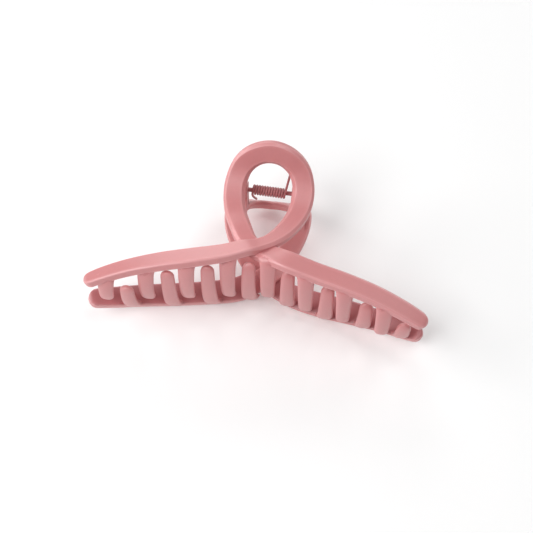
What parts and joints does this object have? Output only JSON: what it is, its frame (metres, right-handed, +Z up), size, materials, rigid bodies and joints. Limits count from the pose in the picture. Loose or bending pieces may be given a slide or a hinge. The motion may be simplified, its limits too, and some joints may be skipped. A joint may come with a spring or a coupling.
{
  "type": "claw hair clip",
  "caption": "Ribbon-loop claw hair clip: crossed ribbon arms with curved interlocking teeth, loops as squeeze handles, and a sprung hinge between the two claws.",
  "frame": {"origin": "bottom centre of the clip's box as it lies on its rear claw, jaws closed", "axes": "+X along the arms and the hinge, +Y from the jaws towards the loops, +Z up, from the rear claw to the front claw"},
  "size_m": [0.1102, 0.0569, 0.0423],
  "materials": {
    "claw_plastic": "soft matte pink, fine even texture",
    "painted_wire": "satin pink paint on steel wire"
  },
  "bodies": {
    "rear_half": {"rear_claw": "claw_plastic", "hinge_pin": "painted_wire", "torsion_spring": "painted_wire"},
    "front_half": {"front_claw": "claw_plastic"}
  },
  "joints": [
    {"name": "jaw_hinge", "type": "hinge", "parent": "rear_half", "child": "front_half", "pos_m": [0, 0.0182, 0.0209], "axis": [-1, 0, 0], "range_deg": [0, 60], "stiffness_Nm_per_rad": 0.06, "springref_deg": -68.75, "deforming": ["torsion_spring"]}
  ]
}
